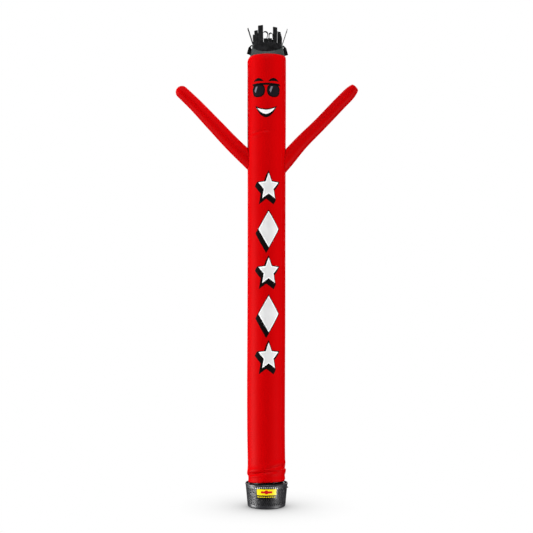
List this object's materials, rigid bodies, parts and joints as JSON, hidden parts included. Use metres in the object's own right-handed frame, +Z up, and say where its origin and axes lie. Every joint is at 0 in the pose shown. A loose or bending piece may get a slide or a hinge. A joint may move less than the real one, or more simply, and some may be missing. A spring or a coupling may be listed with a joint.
{
  "type": "inflatable air dancer with blower",
  "caption": "Tall inflated nylon tube figure with raised arms, printed face and ribbon hair, its hem pulled over the duct of a round floor blower.",
  "frame": {"origin": "centre of the underside of the blower's base plate, on the floor", "axes": "+Z up along the tube; the printed face looks along -Y; +X towards the arm on the viewer's right"},
  "size_m": [2.1603, 0.498, 5.6503],
  "materials": {
    "red_nylon": "satin",
    "black_nylon": "satin",
    "black_plastic": "satin",
    "painted_steel": "satin",
    "label_film": "gloss"
  },
  "bodies": {
    "root": {"body_tube": "red_nylon", "arm_left": "red_nylon", "arm_right": "red_nylon", "crown_cap": "black_nylon", "hair": "black_nylon", "outlet_lip": "black_plastic", "blower_duct": "painted_steel", "blower_deck": "black_plastic", "blower_housing": "black_plastic", "blower_base": "painted_steel", "label_panel": "label_film", "knob_upper": "black_plastic", "knob_lower": "black_plastic"}
  },
  "joints": []
}
